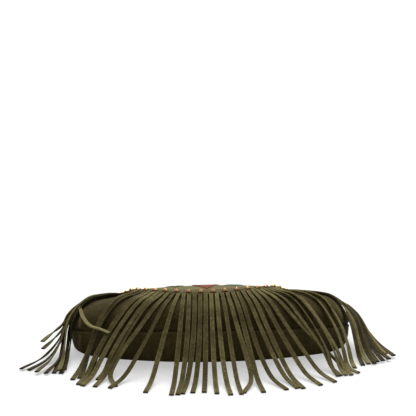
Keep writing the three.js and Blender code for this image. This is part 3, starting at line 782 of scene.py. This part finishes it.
# How far to each side the panel's height is taken for a strand's bank, how many strands the bridging of the
# shoulder takes to set in, and from what height over the floor, and over how much more, a strand may twist.
BANK_STEP = 2.0
STIFF_STRANDS = 2
TWIST_FROM = 3.0
TWIST_RUN = 12.0
# How strands differ: the spread of their twist in degrees, of their turn and of their tone, and the mean and
# spread of their cup and of their share of the full width at the root, with what they gain from there on.
TWIST_SPREAD = 11
TURN_SPREAD = 0.2
TONE_SPREAD = 0.05
CUP = (0.12, 0.16)
ROOT_SHARE = (0.84, 0.03)
ROOT_GAIN = 0.16
# What the crossing strand lacks of its width, all along and where it comes over the shoulder.
CROSSING_SLIM = (0.2, 0.3)
# Steps of tone along a strand: painted light at its root and its end, which face up; cut edges paler, partly
# as raw suede is and partly a painted highlight; and painted shade on the end's cut.
ROOT_PAINTED_LIGHT = 0.16
END_PAINTED_LIGHT = 0.1
EDGE_PALE_AND_HIGHLIGHT = 0.2
CUT_END_PAINTED_SHADE = 0.5
STRAND_TONE = -0.02
# A cut strip's section: shares of its width and thickness, with the corners a little worn.
STRIP_SECTION = np.array([
    (-0.5, -0.2), (-0.45, -0.5), (-0.16, -0.5), (0.16, -0.5), (0.45, -0.5), (0.5, -0.2),
    (0.5, 0.2), (0.45, 0.5), (0.16, 0.5), (-0.16, 0.5), (-0.45, 0.5), (-0.5, 0.2),
])


def bunched(number):
    """Whether a strand hangs in the bunch at either end of the fan."""
    return number <= LEFT_BUNCH or number >= RIGHT_BUNCH


def layer_of(number):
    """How high a strand lies on others: in turn in the left bunch, and one over the next in the right one."""
    if number >= RIGHT_BUNCH:
        return PILE_STEP * (number - RIGHT_BUNCH)
    return BUNCH_LAYER * (abs(number) % 3) if number <= LEFT_BUNCH else 0.0


def plan_route(number):
    """A strand's way in plan: it leaves the flap on one heading and turns to another by a smooth step of
    its run, and any curl grows with the cube of the run."""
    leave, land, curl = (from_table(FAN, "strand", column, number) for column in ("leave", "land", "curl"))
    run = np.arange(0, ROUTE_LENGTH + ROUTE_STEP / 2, ROUTE_STEP)
    turned = (land - leave) * smoothstep(run, *(BUNCH_TURN if bunched(number) else FAN_TURN))
    heading = np.radians(leave + turned + curl * (run / STRAND_LENGTH) ** 3)
    step = ROUTE_STEP * np.stack([np.sin(heading), -np.cos(heading)], -1)
    root = flap_edge(number * STRAND_PITCH)[0] - ROOT_OVERLAP / ROUTE_STEP * step[0]
    return run, root + np.concatenate([[(0, 0)], np.cumsum(step[:-1], axis=0)])


def crossing_line():
    """The strand that lies back across the left corner, from its root to the points given."""
    root, _ = flap_edge(CROSSING_STRAND * STRAND_PITCH, ROOT_OVERLAP)
    root_z = front_height(root[0], root[1]) + GAP + HEAD_THICKNESS / 2
    points = np.stack([CROSSING[key] for key in ("x", "depth", "z")], -1)
    return smooth_line(np.vstack([[*root, root_z], points]))


def strand_line(number):
    """A strand's centre line: along the front panel, over the rim, down to the floor and out to its tip, as
    far as its cut length reaches. In the end bunches the strands lie on one another in layers."""
    if number == CROSSING_STRAND:
        return crossing_line()
    fall, lift, share = (from_table(FAN, "strand", column, number) for column in ("fall", "lift", "share"))
    run, route = plan_route(number)
    layer = layer_of(number)
    inside, _, _ = nearest(SEAM, route[:, 0], route[:, 1])
    rim = run[np.argmax(inside < 0)]
    rolls_off = max(rim - ROLL_OFF, 8)
    lying = np.linspace(0, rolls_off, int(np.ceil(rolls_off / RIDE_STEP)) + 1)
    at = np.stack([np.interp(lying, run, column) for column in route.T], -1)
    ride = (RIDE + layer) * np.minimum(lying / RIDE_RUN, 1) ** 2
    riding = front_height(at[:, 0], at[:, 1]) + GAP + HEAD_THICKNESS / 2 + ride
    floor_height = STRAND_THICKNESS / 2 + layer + lift
    falling = rim + FALL["past_rim"] * fall + layer
    fallen = floor_height + (riding[-1] - floor_height) * FALL["share"]

    def reaching(tip):
        lands = max(tip - TIP_RUN, (tip + falling[-1]) / 2)
        runs = np.concatenate([lying, falling, [lands, tip]])
        z = np.concatenate([riding, fallen, [floor_height + TIP_RISE, floor_height]])
        return smooth_line(np.stack([*(np.interp(runs, run, column) for column in route.T), z], -1))

    short, long = falling[-1] + ROUTE_STEP, ROUTE_LENGTH
    for _ in range(12):
        tip = (short + long) / 2
        if distance_along(reaching(tip))[-1] < share * STRAND_LENGTH:
            short = tip
        else:
            long = tip
    return reaching(short)


def strands():
    """Every strand as a flat strip: the cut section carried along its centre line. It leaves the flap's edge,
    banks with the panel, lies level from the rim on, and turns on edge and cups as its place asks. Strands of
    the bunches settle on the panel, and those of the right one bridge the shoulder."""
    lines = np.stack([resample(strand_line(n), STRAND_STEPS + 1) for n in NUMBERS])
    count, steps = lines.shape[:2]
    share = np.linspace(0, 1, steps)
    run = share * np.linalg.norm(np.diff(lines, axis=1), axis=-1).sum(1, keepdims=True)
    lines[..., 2] += ROOT_RISE * (1 - smoothstep(run, 0, ROOT_RUN))
    piled = np.array([layer_of(n) for n in NUMBERS])[:, None]
    ahead = np.gradient(lines, axis=1)
    ahead /= np.linalg.norm(ahead, axis=-1, keepdims=True)
    across = np.stack([-ahead[..., 1], ahead[..., 0], np.zeros((count, steps))], -1)
    across /= np.linalg.norm(across, axis=-1, keepdims=True)
    inside, _, _ = nearest(SEAM, lines[..., 0], lines[..., 1])
    bank = np.clip(inside / ROLL_OFF, 0, 1)
    over = np.where(NUMBERS == OVER_STRAND, OVER_RISE, 0)[:, None]
    lines[..., 2] += bank * (over - SETTLE * piled)
    stiff = np.clip((NUMBERS - RIGHT_BUNCH) / STIFF_STRANDS, 0, 1)[:, None]
    lines[..., 2] += SHOULDER_RISE * stiff * bell(inside, -SHOULDER_OUT, SHOULDER_RUN)
    aside = BANK_STEP * across[..., :2]
    first_side = np.moveaxis(lines[..., :2] + aside, -1, 0)
    other_side = np.moveaxis(lines[..., :2] - aside, -1, 0)
    across[..., 2] = bank * (front_height(*first_side) - front_height(*other_side)) / (2 * BANK_STEP)
    across -= (across * ahead).sum(-1, keepdims=True) * ahead
    across /= np.linalg.norm(across, axis=-1, keepdims=True)
    up = np.cross(ahead, across)
    free = (1 - bank) * np.clip((lines[..., 2] - TWIST_FROM) / TWIST_RUN, 0, 1)
    twist = free * np.radians(chance.normal(0, TWIST_SPREAD, (count, 1))) * np.sin(np.pi * share * 1.2)
    turn = np.where(NUMBERS == CROSSING_STRAND, 0, from_table(TURN, "strand", "degrees", NUMBERS))[:, None]
    turn = turn * (1 + chance.normal(0, TURN_SPREAD, (count, 1)))
    twist += np.radians(turn) * smoothstep(run, 4, 30) * (1 - 0.8 * smoothstep(share, 0.72, 0.95))
    side = across * np.cos(twist)[..., None] + up * np.sin(twist)[..., None]
    lift = up * np.cos(twist)[..., None] - across * np.sin(twist)[..., None]
    crossing = (NUMBERS == CROSSING_STRAND)[:, None, None]
    slim = chance.normal(*ROOT_SHARE, (count, 1, 1))
    lack = CROSSING_SLIM[0] + CROSSING_SLIM[1] * (1 - smoothstep(share, 0.4, 0.72))
    slim = slim - crossing * lack[None, :, None]
    width = STRAND_WIDTH * (slim + ROOT_GAIN * smoothstep(share, 0.05, 0.55)[None, :, None])
    cup = chance.normal(*CUP, (count, 1, 1)) * (0.4 + 0.6 * np.sin(7 * share))[None, :, None]
    u = STRIP_SECTION[:, 0] * width
    w = STRIP_SECTION[:, 1] * STRAND_THICKNESS + cup * ((2 * STRIP_SECTION[:, 0]) ** 2 - 0.4)
    points = lines[:, :, None] + side[:, :, None] * u[..., None] + lift[:, :, None] * w[..., None]
    points[..., 2] = np.maximum(points[..., 2], 0)
    # Each strand's tone: a random step of its own, plus the table's steps of painted shade and painted light.
    own = chance.normal(0, TONE_SPREAD, (count, 1, 1))
    own = own + from_table(TONE, "strand", "step", NUMBERS)[:, None, None]
    # Painted light at the end and the root, cut edges pale and with a painted highlight, and painted shade on
    # the end's cut.
    ends = END_PAINTED_LIGHT * smoothstep(share, 0.8, 1)[None, :, None]
    edges = EDGE_PALE_AND_HIGHLIGHT * np.abs(2 * STRIP_SECTION[:, 0]) ** 6
    root_painted_light = ROOT_PAINTED_LIGHT * (1 - smoothstep(run, 6, 34))[..., None]
    cut_end_painted_shade = -CUT_END_PAINTED_SHADE * (share == 1)[None, :, None]
    tone = own + root_painted_light + ends + edges + cut_end_painted_shade + STRAND_TONE
    return (points.reshape(-1, 3), tube_faces(steps, len(STRIP_SECTION), count)), tone


def fringe_head():
    """The sewn head of the fringe, a band under the flap's edge."""
    half = (STRANDS_EACH_SIDE + 0.5) * STRAND_PITCH
    way = np.linspace(-half, half, HEAD_STEPS)
    rows = []
    for rise in (HEAD_THICKNESS, 0):
        insets = np.linspace(0, HEAD_WIDTH, 5)
        at = np.stack([flap_edge(way, np.full(HEAD_STEPS, inset))[0] for inset in insets], 1)
        rows.append(np.concatenate([at, (front_height(at[..., 0], at[..., 1]) + GAP + rise)[..., None]], -1))
    return wall(*rows)


strips, strip_tone = strands()
head = fringe_head()
tones = np.concatenate([strip_tone.ravel(), np.zeros(len(head[0]))])
piece("fringe_suede", joined([strips, head]), STRIP_SUEDE, ["fringe"], tones)


# Studs


def flap_seat(at, lift):
    """Places on the flap's top, with the way up there from the top's slope."""
    x, depth = at[:, 0], at[:, 1]
    slope_x = (flap_top(x + 1, depth) - flap_top(x - 1, depth)) / 2
    slope_depth = (flap_top(x, depth + 1) - flap_top(x, depth - 1)) / 2
    up = np.stack([-slope_x, -slope_depth, np.ones(len(x))], -1)
    up /= np.linalg.norm(up, axis=-1, keepdims=True)
    return np.stack([x, depth, flap_top(x, depth)], -1) + lift * up, up


def turned_out(out, up):
    """Unit vectors that point out as the edge does, square to the way up, and the ones across them."""
    flat = np.concatenate([out, np.zeros((len(out), 1))], -1)
    flat -= (flat * up).sum(-1, keepdims=True) * up
    flat /= np.linalg.norm(flat, axis=-1, keepdims=True)
    return flat, np.cross(up, flat)


STUD_SIDES = 40
STUD_POWER = 9
STUD_LIFT = 0.2
# A stud's rings: the share of its half width, the height, and how far the film is rubbed off.
STUD_RINGS = {
    "share": [0.03, 0.12, 0.5, 0.9, 0.98, 1.0, 1.0],
    "height": [STUD_RISE, STUD_RISE - 0.12, 1.82, STUD_PLINTH + 0.16, STUD_PLINTH, STUD_PLINTH - 0.1, 0.0],
    "rubbed": [1, 1, 0.85, 0.2, 0, 0, 0],
}


def stud_shape():
    """A pyramid on a low plinth: rings of a square with worn corners, a superellipse."""
    angle = np.linspace(0, 2 * np.pi, STUD_SIDES, endpoint=False)
    reach = (np.abs(np.cos(angle)) ** STUD_POWER + np.abs(np.sin(angle)) ** STUD_POWER) ** (-1 / STUD_POWER)
    outline = STUD_HALF_WIDTH * np.stack([reach * np.cos(angle), reach * np.sin(angle)], -1)
    rings = np.array(STUD_RINGS["share"])[:, None, None] * outline
    height = np.broadcast_to(np.array(STUD_RINGS["height"])[:, None, None], (*rings.shape[:2], 1))
    return np.concatenate([rings, height], -1).reshape(-1, 3), tube_faces(len(rings), len(angle))


stud_points, stud_faces = stud_shape()
stud_tone = np.repeat(STUD_RINGS["rubbed"], len(stud_points) // len(STUD_RINGS["rubbed"]))
stud_ways = np.arange(-STUDS_EACH_SIDE, STUDS_EACH_SIDE + 1) * STUD_PITCH + STUD_SHIFT
stud_at, stud_out = flap_edge(stud_ways, np.full(len(stud_ways), STUD_INSET))
stud_seat, stud_up = flap_seat(stud_at, STUD_LIFT)
stud_ahead, stud_across = turned_out(stud_out, stud_up)
for k, seat in enumerate(stud_seat):
    axes = np.stack([stud_ahead[k], stud_across[k], stud_up[k]])
    stud_name = f"stud_{k + 1:02d}"
    shape = (seat + stud_points @ axes, stud_faces)
    piece(f"brass_{stud_name}", shape, STUD_BRASS, [stud_name], stud_tone, sharp=25)


# Lozenges

PATCH_STEPS = 41
PATCH_ROUND = 0.5
PATCH_STITCH_INSET = 2.2
PATCH_STITCH_DIP = 0.3
# How far a lozenge's underside lies over the flap, and its stitches under its top.
PATCH_CLEAR = 0.1


def lozenge(x, depth, half_width, half_length):
    """A lozenge whose top follows the flap, rounds over at the cut edge and dips at its stitches."""
    across = np.sin(np.linspace(-1, 1, PATCH_STEPS) * np.pi / 2)
    p, q = np.meshgrid(across, across, indexing="ij")
    at_x = x + half_width * (p - q) / 2
    at_depth = depth + half_length * (p + q) / 2
    rhomb = half_width * half_length / np.hypot(half_width, half_length)
    inset = (1 - np.maximum(np.abs(p), np.abs(q))) * rhomb
    base = flap_top(at_x, at_depth)
    relief = -PATCH_ROUND * (1 - quarter_round(inset / PATCH_ROUND))
    relief = relief - PATCH_STITCH_DIP * bell(inset, PATCH_STITCH_INSET, 0.7)
    outer = np.stack([at_x, at_depth, base + PATCH_RISE + relief], -1)
    return wall(outer, np.stack([at_x, at_depth, base + PATCH_CLEAR], -1))


def lozenge_outline(x, depth, half_width, half_length, inset):
    """A lozenge's outline moved in by an inset, with its first corner again at the end."""
    rhomb = half_width * half_length / np.hypot(half_width, half_length)
    share = 1 - inset / rhomb
    corners = np.array([(0, 1), (1, 0), (0, -1), (-1, 0), (0, 1)]) * (half_width, half_length)
    return np.array([x, depth]) + share * corners


# Stitches

STITCH_HALF_LENGTH = 1.1
STITCH_RADIUS = 0.3
STITCH_RINGS = 5
STITCH_SIDES = 6
BORDER_POINTS = 300


def stitches(seat, ahead, up):
    """Stitches as small spindles: rings whose radius follows a half sine, lying along the row."""
    turn = np.linspace(0, 2 * np.pi, STITCH_SIDES, endpoint=False)
    share = np.linspace(0.06, 0.94, STITCH_RINGS)
    along = STITCH_HALF_LENGTH * (2 * share - 1)
    radius = STITCH_RADIUS * np.sqrt(np.sin(np.pi * share))
    across = np.cross(up, ahead)
    rings = seat[:, None, None] + ahead[:, None, None] * along[:, None, None]
    rings = rings + across[:, None, None] * (radius[:, None] * np.cos(turn))[..., None]
    rings = rings + up[:, None, None] * (radius[:, None] * np.sin(turn))[..., None]
    return rings.reshape(-1, 3), tube_faces(STITCH_RINGS, STITCH_SIDES, len(seat))


def stitch_line(plan, lift):
    """A row of stitches along a plan line on the flap's top."""
    count = max(int(round(distance_along(plan)[-1] / STITCH_PITCH)), 1)
    way = (np.arange(count) + 0.5) * distance_along(plan)[-1] / count
    at = point_at(plan, way)
    along = point_at(plan, way + 0.5) - point_at(plan, way - 0.5)
    seat, up = flap_seat(at, lift)
    ahead, _ = turned_out(along, up)
    return stitches(seat, ahead, up)


border_half = FLAP_EDGE_LENGTH / 2 - FLAP_SIDE_EDGE - 2
border_way = np.linspace(-border_half, border_half, BORDER_POINTS)
border_rows = []
for inset in STITCH_ROWS:
    border_rows.append(stitch_line(flap_edge(border_way, np.full(BORDER_POINTS, inset))[0], 0.0))
piece("flap_stitches", joined(border_rows), OLIVE_THREAD)

patch_rows = []
for name, row in PATCHES.items():
    form = [row[key] for key in ("x", "depth", "half_width", "half_length")]
    piece(f"{name}_suede", lozenge(*form), PATCH_SUEDE[row["slot"]], [name])
    outline = lozenge_outline(*form, PATCH_STITCH_INSET)
    for start, end in zip(outline[:-1], outline[1:]):
        patch_rows.append(stitch_line(np.stack([start, end]), PATCH_RISE - PATCH_CLEAR))
piece("patch_stitches", joined(patch_rows), OLIVE_THREAD)


# Floor, light and camera

# How far the floor reaches and how high it lies, in metres: just under the bag, so that no faces coincide.
FLOOR_REACH = 20.0
FLOOR_HEIGHT = -0.0002


def floor_white():
    """A white sweep: bright to the eye with soft shadows, while little of its light comes back to the bag."""
    material, tree, _ = new_material("white_paper_sweep")
    path = node(tree, "ShaderNodeLightPath", {}, {})
    dim = node(tree, "ShaderNodeBsdfDiffuse", {}, {"Color": (0.55, 0.55, 0.55, 1)})
    paper = node(tree, "ShaderNodeBsdfDiffuse", {}, {"Color": (0.58, 0.58, 0.58, 1)})
    glow = node(tree, "ShaderNodeEmission", {}, {"Strength": 0.42})
    seen = node(tree, "ShaderNodeAddShader", {}, {0: paper.outputs[0], 1: glow.outputs[0]})
    both = node(tree, "ShaderNodeMixShader", {}, {0: path.outputs["Is Camera Ray"], 1: dim.outputs[0],
                                                 2: seen.outputs[0]})
    node(tree, "ShaderNodeOutputMaterial", {}, {"Surface": both.outputs[0]})
    return material


def floor():
    """A wide flat sweep under the bag."""
    mesh = bpy.data.meshes.new("floor")
    signs = ((-1, -1), (1, -1), (1, 1), (-1, 1))
    mesh.from_pydata([(FLOOR_REACH * a, FLOOR_REACH * b, FLOOR_HEIGHT) for a, b in signs], [], [(0, 1, 2, 3)])
    mesh.materials.append(floor_white())
    made = bpy.data.objects.new("floor", mesh)
    bpy.context.scene.collection.objects.link(made)


def soft_sun(name, towards, spread, strength):
    """A wide soft light from far off: the way towards it, how wide it looks, and its strength."""
    data = bpy.data.lights.new(name, "SUN")
    data.energy = strength
    data.angle = spread
    made = bpy.data.objects.new(name, data)
    bpy.context.scene.collection.objects.link(made)
    back = np.array(towards) / np.linalg.norm(towards)
    right = np.cross((0, 1, 0), back)
    right /= np.linalg.norm(right)
    made.matrix_world = Matrix(np.stack([right, np.cross(back, right), back], -1).tolist()).to_4x4()


def sky():
    """White to the eye, and a weak even light on the bag."""
    world = bpy.data.worlds.new("studio")
    world.use_nodes = True
    tree = world.node_tree
    tree.nodes.clear()
    path = node(tree, "ShaderNodeLightPath", {}, {})
    weak = node(tree, "ShaderNodeBackground", {}, {"Color": (1, 1, 1, 1), "Strength": 0.42})
    white = node(tree, "ShaderNodeBackground", {}, {"Color": (1, 1, 1, 1), "Strength": 1.0})
    both = node(tree, "ShaderNodeMixShader", {}, {0: path.outputs["Is Camera Ray"], 1: weak.outputs[0],
                                                 2: white.outputs[0]})
    node(tree, "ShaderNodeOutputWorld", {}, {"Surface": both.outputs[0]})
    bpy.context.scene.world = world


# The photograph's view: a point on the line where the base meets the floor, the pixel that shows it, how
# far away and how high the camera stands from it, how far the bag is turned, and the focal length.
IMAGE = 416
SENSOR = 36.0
CONTACT = np.array([0.0, 6.0, 0.0])
CONTACT_PIXEL = (214.0, 361.5)
VIEW_DISTANCE = 1500.0
VIEW_ELEVATION = np.radians(18.0)
VIEW_TURN = np.radians(3.5)
FOCAL_PIXELS = 1500.0


def camera():
    """A camera that stands back from the contact point along its pixel's ray, pitched down."""
    right_share = (CONTACT_PIXEL[0] - IMAGE / 2) / FOCAL_PIXELS
    down_share = (CONTACT_PIXEL[1] - IMAGE / 2) / FOCAL_PIXELS
    pitch = VIEW_ELEVATION - np.arctan(down_share)
    right = np.array([np.cos(VIEW_TURN), -np.sin(VIEW_TURN), 0])
    level = np.array([np.sin(VIEW_TURN), np.cos(VIEW_TURN), 0])
    high = np.array([0, 0, 1.0])
    ahead = level * np.cos(pitch) - high * np.sin(pitch)
    up = level * np.sin(pitch) + high * np.cos(pitch)
    ray = ahead + right * right_share - up * down_share
    place = CONTACT - (0, ORIGIN_DEPTH, 0) - VIEW_DISTANCE * ray / np.linalg.norm(ray)
    data = bpy.data.cameras.new("camera")
    data.sensor_width = SENSOR
    data.lens = FOCAL_PIXELS * SENSOR / IMAGE
    data.clip_end = 100.0
    made = bpy.data.objects.new("camera", data)
    bpy.context.scene.collection.objects.link(made)
    turn = Matrix(np.stack([right, up, -ahead], -1).tolist()).to_4x4()
    turn.translation = (place * MM).tolist()
    made.matrix_world = turn
    bpy.context.scene.camera = made


floor()
sky()
soft_sun("top_box", (0.1, 0.8, 1.0), np.radians(50), 2.8)
camera()
bpy.context.scene.view_settings.view_transform = "Standard"
